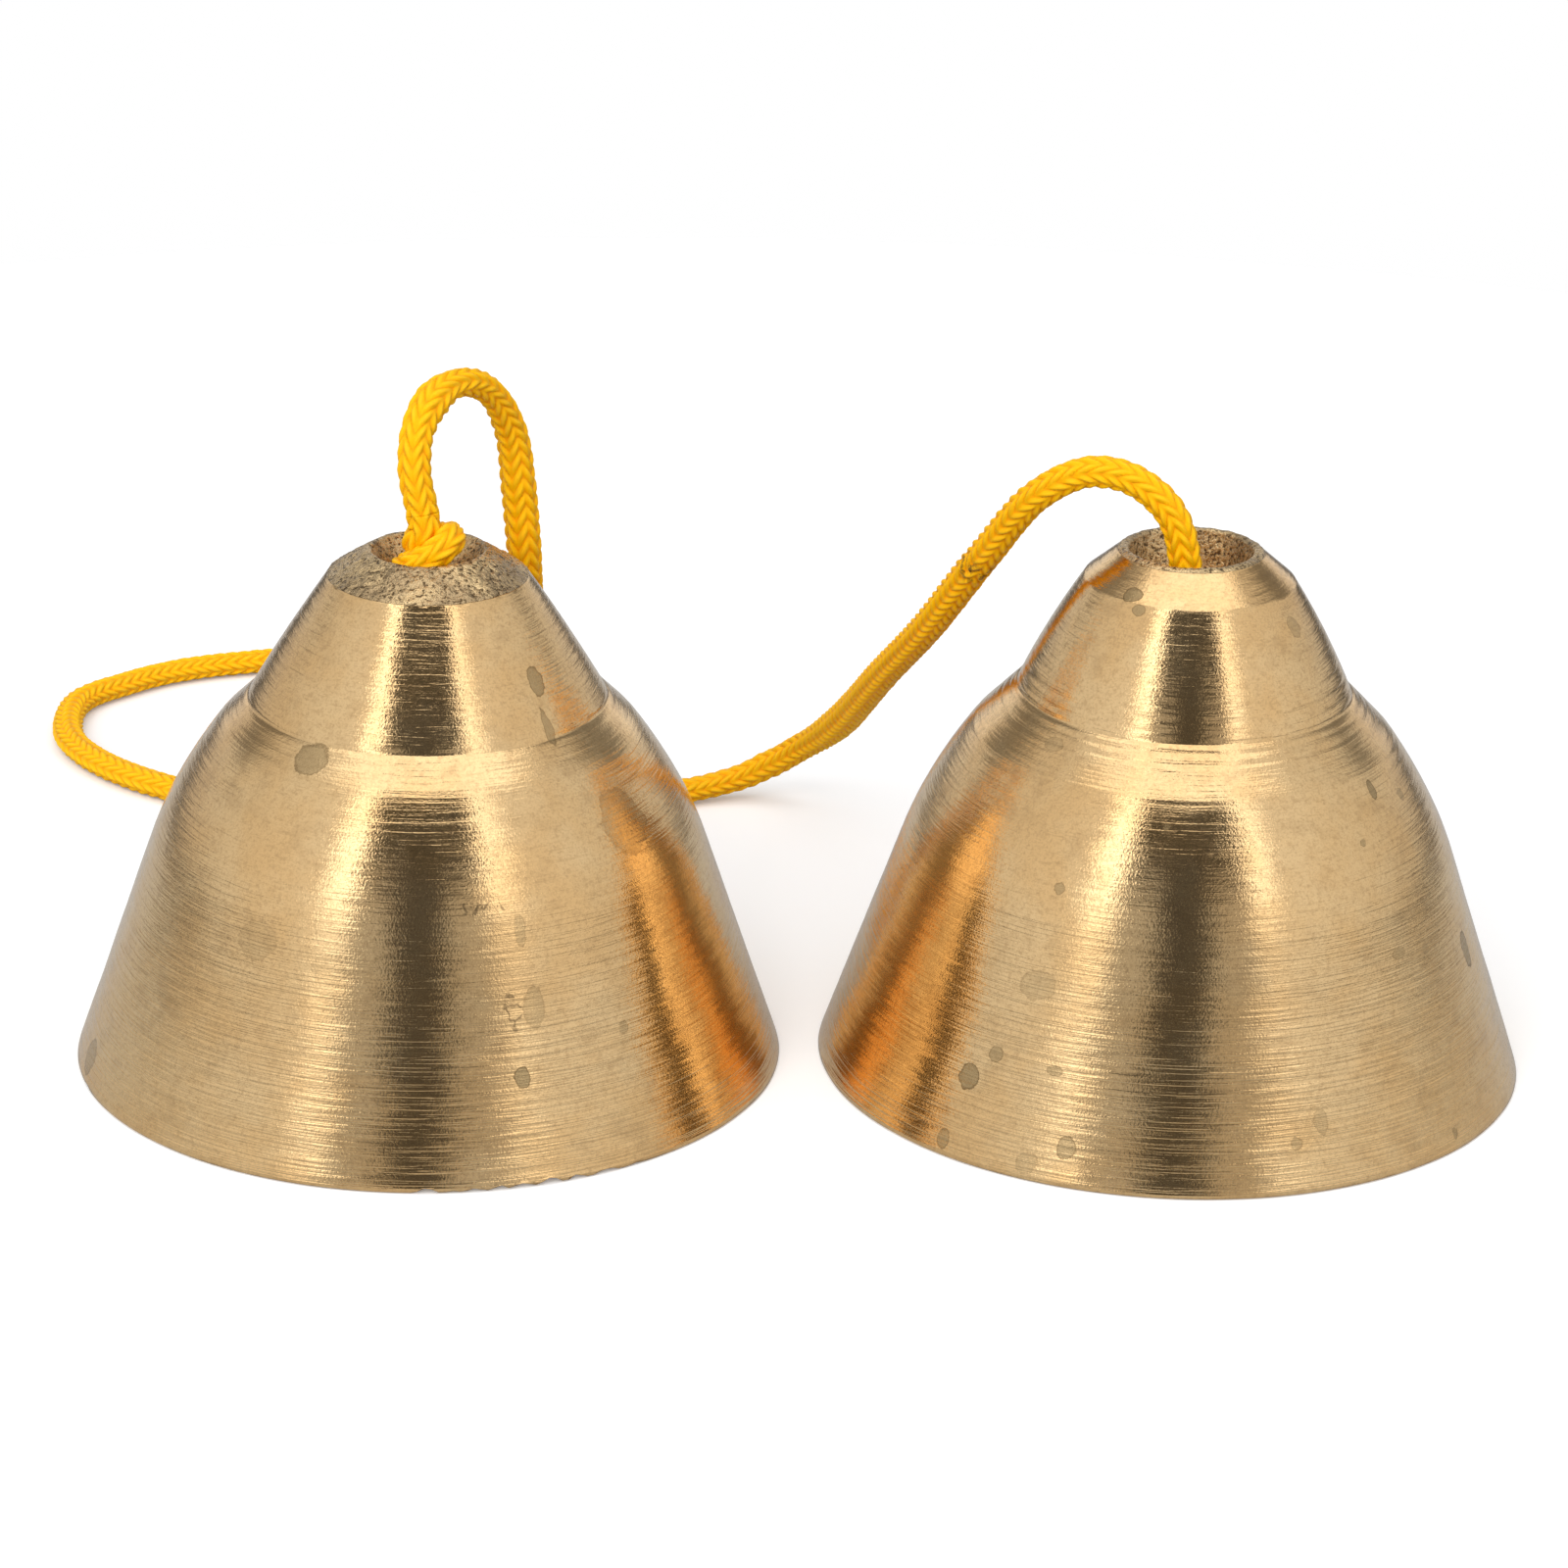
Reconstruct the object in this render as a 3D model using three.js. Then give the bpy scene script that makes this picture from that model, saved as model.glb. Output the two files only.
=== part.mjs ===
// A pair of bell-shaped finger cymbals on one knitted cord, standing on their rims.
// Millimetres, +Z up. The origin is on the table, midway between the two cups.
import * as THREE from "three";

// The pair: how far apart the cups stand, and how far the right one stands behind the left.
const rimGap = 3.2;
const cupStagger = 2;

// Both cups are turned from castings of one size. Heights are measured up from the rim.
const rimRadius = 30;
const rimLand = 3.2; // width of the flat ring that the cup stands on
const wall = 3.4; // measured level, from the outside to the hollow
const flankHeight = 19; // the straight flank ends here and rounds in to the shoulder
const flankRadius = 23.4;
const ceilingChamfer = 2;
const turnSides = 48;
const cupSpacing = 2 * rimRadius + rimGap; // from axis to axis

// What differs from cup to cup: the shoulder, the waist under the crown, the crown and its hole.
const leftCup = {
  name: "left_cymbal",
  side: -1,
  height: 44.7,
  shoulder: { radius: 17.5, height: 29.6 },
  waist: { radius: 15, height: 32 },
  crownSwell: 0.3, // how far the crown's side bulges from a straight cone
  capDrop: 2.1, // the rough cast cap starts this far below the top
  capRadius: 8.25,
  lipRadius: 4.9,
  mouthRadius: 4.55,
  funnelDepth: 3.1,
  boreClearance: 0.9, // all round the cord
  crownDepth: 7, // metal from the top down to the ceiling of the hollow
};
const rightCup = {
  name: "right_cymbal",
  side: 1,
  height: 45.6,
  shoulder: { radius: 17.7, height: 29.6 },
  waist: { radius: 14, height: 33.4 },
  crownSwell: 0.5,
  capDrop: 2.6,
  capRadius: 8.8,
  lipRadius: 5.6,
  mouthRadius: 5.1,
  funnelDepth: 6.2,
  boreClearance: 1.4,
  crownDepth: 8.4,
};

// The cord and its knots.
const cordDiameter = 3;
const cordSides = 8;
const knotSwell = 1.9; // how far a drawn knot stands out all round the cord
const knotRadius = cordDiameter / 2 + knotSwell;
const knotHalfHeight = 3;
const knotSides = 20;
const tailEndLength = 1.2; // the melted tip
const seamGap = 0.3; // between pieces that touch
const leftKnotSlack = 4.5; // from each ceiling down to its stop knot
const rightKnotSlack = 6;
const leftTailLength = 11;
const rightTailLength = 13.5;

// The cord's free run, from the knot in the left mouth, over and behind the left cup,
// round on the table and up to the right mouth.
const cordRoute = [
  [-32.7, -0.6, 51.3], [-32.5, 0.8, 54.3], [-31.3, 3, 56.4], [-29.3, 5.7, 57], [-27.2, 8.6, 55.5],
  [-25.5, 11.1, 51.4], [-24.8, 11.6, 46.1], [-24.3, 12.2, 39], [-24.6, 19.6, 29.2], [-26.3, 30.1, 18],
  [-28.8, 39.3, 10.3], [-31.6, 48, 5.8], [-35.3, 58.5, 3.2], [-37.6, 70.5, 1.7], [-40.8, 81.8, 1.5],
  [-45.6, 90, 1.5], [-51.4, 93.1, 1.5], [-58, 91.6, 1.5], [-63.8, 88.9, 1.5], [-68.7, 84.5, 1.5],
  [-72.4, 79.4, 1.5], [-72.6, 71.3, 1.5], [-70.8, 65.9, 1.5], [-66.2, 59.9, 1.5], [-58.5, 54.3, 1.5],
  [-49.2, 50.9, 1.5], [-38.1, 49.8, 1.5], [-28.4, 50.4, 1.5], [-18.7, 53.9, 1.5], [-9, 58.4, 1.9],
  [-3.8, 59, 3.4], [-0.1, 56.8, 6.4], [3.1, 49.7, 11.4], [7.1, 33.4, 22.5], [10.6, 21.7, 31.1],
  [14.7, 11.8, 40.7], [19.2, 5, 48.8], [23.2, 3, 51.3], [26.9, 1.7, 50.9], [30.1, 1, 47.9],
];

const brass = (color) => new THREE.MeshStandardMaterial({ color, roughness: 0.32, metalness: 1 });
const knit = () => new THREE.MeshStandardMaterial({ color: 0xf9b517, roughness: 0.75, metalness: 0 });
const melted = () => new THREE.MeshStandardMaterial({ color: 0xd98a0c, roughness: 0.35, metalness: 0 });

const cymbals = new THREE.Group();

function addMesh(name, geometry, material, place = new THREE.Vector3()) {
  const mesh = new THREE.Mesh(geometry, material);
  mesh.name = name;
  mesh.position.copy(place);
  cymbals.add(mesh);
}

const axisOf = (cup) =>
  new THREE.Vector3((cup.side * cupSpacing) / 2, (cup.side * cupStagger) / 2, 0);

const boreOf = (cup) => cordDiameter / 2 + cup.boreClearance;
const ceilingOf = (cup) => cup.height - cup.crownDepth;

// The cup's outside from the rim up to the edge of its mouth, as (radius, height).
function outside(cup) {
  const { shoulder, waist } = cup;
  const capHeight = cup.height - cup.capDrop;
  const flankSlope = (rimRadius - flankRadius) / flankHeight;
  const bendHeight = (flankHeight + shoulder.height) / 2;
  const path = new THREE.Path();
  path.moveTo(rimRadius, 0);
  path.lineTo(flankRadius, flankHeight);
  path.quadraticCurveTo(
    flankRadius - flankSlope * (bendHeight - flankHeight), bendHeight,
    shoulder.radius, shoulder.height,
  );
  path.lineTo(waist.radius, waist.height);
  path.quadraticCurveTo(
    (waist.radius + cup.capRadius) / 2 + cup.crownSwell, (waist.height + capHeight) / 2,
    cup.capRadius, capHeight,
  );
  path.lineTo(cup.lipRadius, cup.height);
  return path.getPoints(5);
}

// The outside radius at a height, read off the outline.
function radiusAt(outline, height) {
  const above = outline.findIndex((point) => point.y >= height);
  const [low, high] = [outline[above - 1], outline[above]];
  return THREE.MathUtils.mapLinear(height, low.y, high.y, low.x, high.x);
}

// The hollow, from the ceiling down to the rim: the outside moved in by the wall.
function hollow(cup, outline) {
  const ceiling = ceilingOf(cup);
  const chamferFoot = ceiling - ceilingChamfer;
  const side = outline
    .filter((point) => point.y > 0 && point.y < chamferFoot)
    .map((point) => new THREE.Vector2(point.x - wall, point.y));
  return [
    new THREE.Vector2(boreOf(cup), ceiling),
    new THREE.Vector2(radiusAt(outline, ceiling) - wall - ceilingChamfer, ceiling),
    new THREE.Vector2(radiusAt(outline, chamferFoot) - wall, chamferFoot),
    ...side.reverse(),
    new THREE.Vector2(rimRadius - rimLand, 0),
  ];
}

function addCup(cup, color) {
  const outline = outside(cup);
  const lipDrop = cup.lipRadius - cup.mouthRadius;
  const profile = [
    ...outline,
    new THREE.Vector2(cup.mouthRadius, cup.height - lipDrop),
    new THREE.Vector2(boreOf(cup), cup.height - cup.funnelDepth),
    ...hollow(cup, outline),
    outline[0].clone(),
  ];
  const turned = new THREE.LatheGeometry(profile, turnSides).rotateX(Math.PI / 2);
  addMesh(cup.name, turned, brass(color), axisOf(cup));
}

addCup(leftCup, 0xc49a58);
addCup(rightCup, 0xc89e5c);

// A knot drawn tight, as one rounded lump.
function knotGeometry() {
  const halfTurn = new THREE.EllipseCurve(0, 0, knotRadius, knotHalfHeight, -Math.PI / 2, Math.PI / 2);
  return new THREE.LatheGeometry(halfTurn.getPoints(10), knotSides).rotateX(Math.PI / 2);
}

// Cord along a curve, flat at both ends.
function cordGeometry(curve, steps) {
  const section = new THREE.Shape(
    Array.from({ length: cordSides }, (_, side) => {
      const angle = (side / cordSides) * 2 * Math.PI;
      return new THREE.Vector2(Math.cos(angle), Math.sin(angle)).multiplyScalar(cordDiameter / 2);
    }),
  );
  return new THREE.ExtrudeGeometry(section, { extrudePath: curve, steps, bevelEnabled: false });
}

function addStraightCord(name, place, top, bottom, material = knit()) {
  const line = new THREE.LineCurve3(new THREE.Vector3(0, 0, top), new THREE.Vector3(0, 0, bottom));
  addMesh(name, cordGeometry(line, 1), material, place);
}

const leftAxis = axisOf(leftCup);
const rightAxis = axisOf(rightCup);

// The left mouth's knot rests in the funnel: an ellipse lowered until it just clears the cone.
const funnelTop = leftCup.height - (leftCup.lipRadius - leftCup.mouthRadius);
const funnelFoot = leftCup.height - leftCup.funnelDepth;
const funnelSlope = (leftCup.mouthRadius - boreOf(leftCup)) / (funnelTop - funnelFoot);
const knotReach = Math.hypot(knotRadius, funnelSlope * knotHalfHeight);
const throatKnotHeight =
  funnelFoot +
  (knotReach - boreOf(leftCup) + seamGap * Math.hypot(1, funnelSlope)) / funnelSlope;
addMesh("left_throat_knot", knotGeometry(), knit(),
  leftAxis.clone().setZ(throatKnotHeight));

// Each stop knot hangs in its hollow, with a tail and a melted tip below it.
function addStopKnot(side, axis, knotHeight, tailLength) {
  const tailTop = knotHeight - knotHalfHeight - seamGap;
  const tailFoot = tailTop - tailLength;
  addMesh(`${side}_stop_knot`, knotGeometry(), knit(), axis.clone().setZ(knotHeight));
  addStraightCord(`${side}_tail`, axis, tailTop, tailFoot);
  addStraightCord(`${side}_tail_tip`, axis, tailFoot - seamGap, tailFoot - seamGap - tailEndLength, melted());
}

const leftKnotHeight = ceilingOf(leftCup) - leftKnotSlack - knotHalfHeight;
const rightKnotHeight = ceilingOf(rightCup) - rightKnotSlack - knotHalfHeight;
addStopKnot("left", leftAxis, leftKnotHeight, leftTailLength);
addStopKnot("right", rightAxis, rightKnotHeight, rightTailLength);

// The cord between the left cup's two knots, through its bore.
addStraightCord("left_neck", leftAxis,
  throatKnotHeight - knotHalfHeight - seamGap,
  leftKnotHeight + knotHalfHeight + seamGap);

// The free run starts on top of the mouth's knot and ends above the right stop knot.
const runStart = new THREE.Vector3(leftAxis.x, leftAxis.y, throatKnotHeight + knotHalfHeight + seamGap);
const runEnd = rightAxis.clone().setZ(rightKnotHeight + knotHalfHeight + seamGap);
const runMouth = rightAxis.clone().setZ(rightCup.height - rightCup.funnelDepth);
const run = new THREE.CatmullRomCurve3([
  runStart,
  ...cordRoute.map((point) => new THREE.Vector3(...point)),
  runMouth,
  runEnd,
]);
const stepLength = 2 * cordDiameter;
addMesh("cord_run", cordGeometry(run, Math.round(run.getLength() / stepLength)), knit());

export default cymbals;
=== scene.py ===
# A pair of finger cymbals: two cast and turned brass cups on one knitted yellow cord.
import math

import bpy
import numpy as np
from mathutils import Matrix, Vector


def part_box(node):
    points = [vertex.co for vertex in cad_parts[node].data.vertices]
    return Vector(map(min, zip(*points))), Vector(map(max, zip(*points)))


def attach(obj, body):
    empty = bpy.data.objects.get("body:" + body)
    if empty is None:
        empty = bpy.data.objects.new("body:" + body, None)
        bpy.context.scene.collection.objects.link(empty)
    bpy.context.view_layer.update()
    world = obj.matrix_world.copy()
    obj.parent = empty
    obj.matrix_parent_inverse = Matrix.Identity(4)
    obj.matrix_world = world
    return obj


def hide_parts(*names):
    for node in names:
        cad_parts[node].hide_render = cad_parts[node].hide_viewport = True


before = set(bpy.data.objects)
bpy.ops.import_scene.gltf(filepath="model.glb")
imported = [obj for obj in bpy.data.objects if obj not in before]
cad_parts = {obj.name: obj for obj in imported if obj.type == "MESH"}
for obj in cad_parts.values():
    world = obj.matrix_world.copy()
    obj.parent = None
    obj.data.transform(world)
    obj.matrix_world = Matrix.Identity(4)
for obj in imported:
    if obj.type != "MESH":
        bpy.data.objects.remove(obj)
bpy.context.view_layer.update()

mm = 0.001

# camera

cameraSetup = {
    "place": (-1.75, -404.2, 178.1),  # mm
    "downTilt": 20.85,  # degrees below level
    "roll": 1.26,
    "lens": 117.9,
    "sensor": 36,
}


def addCamera(setup):
    data = bpy.data.cameras.new("camera")
    data.lens = setup["lens"]
    data.sensor_width = setup["sensor"]
    data.clip_start = 0.01
    data.clip_end = 20
    camera = bpy.data.objects.new("camera", data)
    bpy.context.collection.objects.link(camera)
    tilt = Matrix.Rotation(math.radians(90 - setup["downTilt"]), 4, "X")
    roll = Matrix.Rotation(math.radians(setup["roll"]), 4, "Z")
    camera.matrix_world = Matrix.Translation([v * mm for v in setup["place"]]) @ tilt @ roll
    bpy.context.scene.camera = camera


addCamera(cameraSetup)
print("camera placed")

# helpers for meshes


def smoothNoise(points, seed):
    # smooth noise from -1 to 1 at each point, one cell to a unit
    table = np.random.RandomState(seed).uniform(-1, 1, 4096)
    cell = np.floor(points).astype(int)
    part = points - cell
    part = part * part * (3 - 2 * part)
    total = np.zeros(len(points))
    for corner in range(8):
        step = np.array([corner & 1, corner >> 1 & 1, corner >> 2])
        at = cell + step
        index = (at[:, 0] * 1619 + at[:, 1] * 31337 + at[:, 2] * 6971) % 4096
        weight = np.prod(np.where(step == 1, part, 1 - part), axis=1)
        total += weight * table[index]
    return total


def meshFromRings(name, rings, closed, marks):
    # rings of points, each joined to the next; closed joins the last to the first, else both ends
    # are capped
    count, around = rings.shape[:2]
    here = np.arange(count * around).reshape(count, around)
    after = np.roll(here, -1, axis=0)
    if not closed:
        here, after = here[:-1], after[:-1]
    quads = np.stack([here, np.roll(here, -1, axis=1), np.roll(after, -1, axis=1), after], axis=-1)
    faces = quads.reshape(-1, 4).tolist()
    points = rings.reshape(-1, 3)
    if not closed:
        last = count * around
        points = np.vstack([points, rings[0].mean(axis=0), rings[-1].mean(axis=0)])
        for side in range(around):
            following = (side + 1) % around
            faces.append([last, following, side])
            faces.append([last + 1, last - around + side, last - around + following])
    mesh = bpy.data.meshes.new(name)
    mesh.from_pydata((points * mm).tolist(), [], faces)
    mesh.polygons.foreach_set("use_smooth", [True] * len(mesh.polygons))
    for mark, values in marks.items():
        values = np.append(values.ravel(), np.zeros(len(points) - values.size))
        attribute = mesh.attributes.new(mark, "FLOAT", "POINT")
        attribute.data.foreach_set("value", values.astype(np.float32))
    mesh.update()
    piece = bpy.data.objects.new(name, mesh)
    bpy.context.collection.objects.link(piece)
    return piece


# helpers for materials


class Nodes:
    def __init__(self, owner, shader):
        owner.use_nodes = True
        self.tree = owner.node_tree
        self.shader = self.tree.nodes[shader]

    def add(self, kind, settings=None, **inputs):
        node = self.tree.nodes.new(kind)
        for key, value in (settings or {}).items():
            setattr(node, key, value)
        for key, value in inputs.items():
            self.feed(node.inputs[int(key[1:])] if key[1:].isdigit() else node.inputs[key], value)
        return node

    def feed(self, socket, value):
        if isinstance(value, bpy.types.NodeSocket):
            self.tree.links.new(value, socket)
        else:
            socket.default_value = value

    def math(self, operation, a, b=0.0, clamp=False):
        node = self.add("ShaderNodeMath", {"operation": operation, "use_clamp": clamp}, i0=a, i1=b)
        return node.outputs[0]

    def remap(self, value, low, high, toLow=0.0, toHigh=1.0):
        node = self.add("ShaderNodeMapRange", {"interpolation_type": "SMOOTHSTEP"},
                        i0=value, i1=low, i2=high, i3=toLow, i4=toHigh)
        return node.outputs[0]

    def mix(self, share, first, second):
        node = self.add("ShaderNodeMix", {"data_type": "RGBA"}, i0=share, i6=first, i7=second)
        return node.outputs[2]

    def between(self, share, first, second):
        node = self.add("ShaderNodeMix", {"data_type": "FLOAT"}, i0=share, i2=first, i3=second)
        return node.outputs[0]

    def scaled(self, value, middle, size):
        return self.math("MULTIPLY", self.math("SUBTRACT", value, middle), size)

    def vector(self, operation, **inputs):
        return self.add("ShaderNodeVectorMath", {"operation": operation}, **inputs).outputs[0]

    def noise(self, vector, scale, detail=2.0, rough=0.5):
        node = self.add("ShaderNodeTexNoise", None, Vector=vector, Scale=scale, Detail=detail,
                        Roughness=rough)
        return node.outputs[0]

    def mark(self, name):
        return self.add("ShaderNodeAttribute", {"attribute_name": name}).outputs["Fac"]

    def bump(self, height, strength, distance, normal=None):
        node = self.add("ShaderNodeBump", None, Strength=strength, Distance=distance, Height=height)
        if normal is not None:
            self.tree.links.new(normal, node.inputs["Normal"])
        return node.outputs[0]


# the knitted cord

cordFacts = {
    "diameter": 3.0,  # mm, as are all sizes here
    "columns": 4,  # chains of V stitches round the cord
    "pitch": 1.28,  # from stitch to stitch
    "slant": 1.12,  # how far a stitch's arm climbs, in pitches
    "depth": 0.25,  # groove between stitches, as a share of the radius
    "swell": 0.025,  # how much thicker and thinner it gets along its length, as a share
    "fullness": 1.07,  # how far the stitches' tops stand out, as a share of the radius
    "armRound": 0.65,  # less is flatter on top
    "armEnds": 2.2,  # more keeps an arm plump nearer its ends
    "uneven": 0.02,  # from stitch to stitch, as a share of the radius
    "tight": 0.92,  # how thick a plain stretch is, as a share
    "flatten": 0.2,  # how much its own weight and handling flatten it on the table
    "lyingBelow": 3.4,  # height at which that begins
    "lyingOver": 1.6,
    "around": 40,
    "ringGap": 0.145,
    "pathStep": 8,
    "boreHeight": 39.4,  # where the run is centred in the right bore
    "overlap": 0.5,  # how far a straight stretch goes into what it meets
}
front = (0, -1, 0)  # where one chain of stitches looks

# The free run from the knot in the left mouth, over and behind the left cup, round on the
# table and up to the right mouth.
cordRoute = [  # metres
    (-0.0327, -0.0006, 0.0513), (-0.0325, 0.0008, 0.0543), (-0.0313, 0.003, 0.0564),
    (-0.0293, 0.0057, 0.057), (-0.0272, 0.0086, 0.0555), (-0.0255, 0.0111, 0.0514),
    (-0.0248, 0.0116, 0.0461), (-0.0243, 0.0122, 0.039), (-0.0246, 0.0196, 0.0292),
    (-0.0263, 0.0301, 0.018), (-0.0288, 0.0393, 0.0103), (-0.0316, 0.048, 0.0058),
    (-0.0353, 0.0585, 0.0032), (-0.0376, 0.0705, 0.0017), (-0.0408, 0.0818, 0.0015),
    (-0.0456, 0.09, 0.0015), (-0.0514, 0.0931, 0.0015), (-0.058, 0.0916, 0.0015),
    (-0.0638, 0.0889, 0.0015), (-0.0687, 0.0845, 0.0015), (-0.0724, 0.0794, 0.0015),
    (-0.0726, 0.0713, 0.0015), (-0.0708, 0.0659, 0.0015), (-0.0662, 0.0599, 0.0015),
    (-0.0585, 0.0543, 0.0015), (-0.0492, 0.0509, 0.0015), (-0.0381, 0.0498, 0.0015),
    (-0.0284, 0.0504, 0.0015), (-0.0187, 0.0539, 0.0015), (-0.009, 0.0584, 0.0019),
    (-0.0038, 0.059, 0.0034), (-0.0001, 0.0568, 0.0064), (0.0031, 0.0497, 0.0114),
    (0.0071, 0.0334, 0.0225), (0.0106, 0.0217, 0.0311), (0.0147, 0.0118, 0.0407),
    (0.0192, 0.005, 0.0488), (0.0232, 0.003, 0.0513), (0.0269, 0.0017, 0.0509),
    (0.0301, 0.001, 0.0479),
]


def curveThrough(points, gap):
    # a centripetal Catmull-Rom curve, as points a set gap apart
    points = np.array(points, float)
    points = np.vstack([2 * points[0] - points[1], points, 2 * points[-1] - points[-2]])
    pieces = []
    for i in range(1, len(points) - 2):
        p = points[i - 1:i + 3]
        t = np.append(0, np.cumsum(np.sqrt(np.linalg.norm(np.diff(p, axis=0), axis=1))))
        u = np.linspace(t[1], t[2], 60, endpoint=False)[:, None]

        def blend(first, last, begin, end):
            return (end - u) / (end - begin) * first + (u - begin) / (end - begin) * last

        near = [blend(p[k], p[k + 1], t[k], t[k + 1]) for k in range(3)]
        wide = [blend(near[k], near[k + 1], t[k], t[k + 2]) for k in range(2)]
        pieces.append(blend(*wide, t[1], t[2]))
    fine = np.vstack(pieces + [points[-2:-1]])
    along = lengthsAlong(fine)
    stops = np.linspace(0, along[-1], max(4, round(along[-1] / gap)))
    return np.stack([np.interp(stops, along, fine[:, k]) for k in range(3)], axis=-1)


def lengthsAlong(line, fromEnd=False):
    # how far along the line each point is, from 0 at its start, or up to 0 at its end
    steps = np.linalg.norm(np.diff(line, axis=0), axis=1)
    return np.append(0, np.cumsum(steps)) - (steps.sum() if fromEnd else 0)


def sidesAlong(line, fromEnd):
    # a direction square to the line at each point, to the front at one end and turning as little
    # as it can from there
    tangents = np.gradient(line, axis=0)
    tangents /= np.linalg.norm(tangents, axis=1)[:, None]
    side = np.array(front, float)
    sides = np.zeros(line.shape)
    for i in (reversed(range(len(line))) if fromEnd else range(len(line))):
        side = side - tangents[i] * side.dot(tangents[i])
        side /= np.linalg.norm(side)
        sides[i] = side
    return sides, np.cross(tangents, sides)


def knittedCord(name, line, facts, squeeze, fromEnd=False):
    # a tube along line whose surface is chains of V stitches; fromEnd counts them back from its end
    sides, across = sidesAlong(line, fromEnd)
    along = lengthsAlong(line, fromEnd)
    angle = np.arange(facts["around"]) / facts["around"] * 2 * math.pi
    chain = angle / (2 * math.pi) * facts["columns"] + 0.5
    span = np.abs(chain % 1 * 2 - 1)  # 0 in the middle of a chain, 1 at its edge
    number = np.floor(chain) % facts["columns"]
    climb = along[:, None] / facts["pitch"] - facts["slant"] * span
    arm = np.sin(math.pi * (climb % 1)) ** facts["armRound"]
    plump = 1 - np.abs(2 * span - 1) ** facts["armEnds"]
    rise = arm * (0.35 + 0.65 * plump)
    stitch = np.stack([np.floor(climb).ravel() * 1.7, np.tile(number * 3.1, len(line)),
                       np.zeros(climb.size)], -1)
    uneven = smoothNoise(stitch, 3).reshape(climb.shape) * facts["uneven"]
    swell = smoothNoise(np.stack([along / 9, 0 * along, 0 * along], -1), 5)[:, None] * facts["swell"]
    squeeze = np.broadcast_to(squeeze, len(line))[:, None]
    shape = facts["fullness"] - facts["depth"] * (1 - rise) + uneven + swell
    radius = facts["diameter"] / 2 * squeeze * shape
    rings = (line[:, None] + radius[..., None] * (
        np.cos(angle)[None, :, None] * sides[:, None] + np.sin(angle)[None, :, None] * across[:, None]))
    lying = np.clip((facts["lyingBelow"] - line[:, 2]) / facts["lyingOver"], 0, 1) * facts["flatten"]
    rings[..., 2] *= 1 - lying[:, None]
    return meshFromRings(name, rings, False, {"climb": climb, "span": np.tile(span, (len(line), 1))})


knitLooks = {
    # painted shade: the hollows between stitches are coloured darker
    "hollow": (1.0, 0.35, 0.0, 1),
    "arm": (1.0, 0.49, 0.0, 1),
    # painted highlight: the crests of the arms are coloured lighter
    "crestHighlight": (1.0, 0.57, 0.012, 1),
    "patch": (1.0, 0.54, 0.0, 1),
    "grime": (0.11, 0.05, 0.01, 1),
    "grimePlace": (0.0142, 0.0120, 0.0399),  # metres
    "stitchDepth": 0.00016,
    "fibreDepth": 0.00006,
}


def knitMaterial(looks):
    material = bpy.data.materials.new("golden_knit")
    n = Nodes(material, "Principled BSDF")
    place = n.add("ShaderNodeTexCoord").outputs["Object"]
    climb, span = n.mark("climb"), n.mark("span")
    # the same arms as the mesh has, drawn finely: each is plump in the middle and dips at its ends
    arm = n.math("SINE", n.math("MULTIPLY", n.math("FRACT", climb), math.pi))
    plump = n.math("SINE", n.math("MULTIPLY", span, math.pi))
    full = n.math("ADD", n.math("MULTIPLY", plump, 0.6), 0.4)
    rise = n.math("MULTIPLY", n.math("POWER", arm, 0.7), full)
    strands = n.add("ShaderNodeCombineXYZ", None, X=n.math("MULTIPLY", climb, 9.0),
                    Y=n.math("MULTIPLY", span, 1.6), Z=n.math("FLOOR", climb)).outputs[0]
    fibre = n.noise(strands, 1.0, 3, 0.6)
    # painted shade, darker down in the hollows between stitches
    colour = n.mix(n.remap(rise, 0.0, 0.55), looks["hollow"], looks["arm"])
    # painted highlight, lighter on the crests of the arms
    colour = n.mix(n.math("MULTIPLY", n.remap(rise, 0.5, 1.0), 0.6), colour, looks["crestHighlight"])
    patches = n.remap(n.noise(place, 260, 3), 0.35, 0.7)
    colour = n.mix(n.math("MULTIPLY", patches, 0.25), colour, looks["patch"])
    away = n.add("ShaderNodeVectorMath", {"operation": "DISTANCE"}, i0=place, i1=looks["grimePlace"])
    spot = n.remap(away.outputs["Value"], 0.0006, 0.0024, 1, 0)
    specks = n.remap(n.noise(place, 1500, 3), 0.46, 0.6)
    colour = n.mix(n.math("MULTIPLY", spot, specks), colour, looks["grime"])
    n.feed(n.shader.inputs["Base Color"], colour)
    n.feed(n.shader.inputs["Roughness"], n.remap(fibre, 0.3, 0.7, 0.4, 0.62))
    n.shader.inputs["Specular IOR Level"].default_value = 0.2
    n.shader.inputs["Sheen Weight"].default_value = 0.05
    n.shader.inputs["Sheen Tint"].default_value = (1, 0.7, 0.1, 1)
    n.shader.inputs["Subsurface Weight"].default_value = 0.15
    n.shader.inputs["Subsurface Radius"].default_value = (0.6, 0.3, 0.02)
    n.shader.inputs["Subsurface Scale"].default_value = 0.0006
    normal = n.bump(rise, 0.7, looks["stitchDepth"])
    n.feed(n.shader.inputs["Normal"], n.bump(fibre, 0.6, looks["fibreDepth"], normal))
    return material


meltedFacts = {
    "honey": (0.66, 0.24, 0.006, 1),
    "scorched": (0.16, 0.05, 0.006, 1),
    "radius": 1.42,
    "overlap": 0.35,  # how far it reaches up round the tail
    "lumps": 0.08,  # as a share of the radius
    "rings": 24,
    "around": 36,
}


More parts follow.
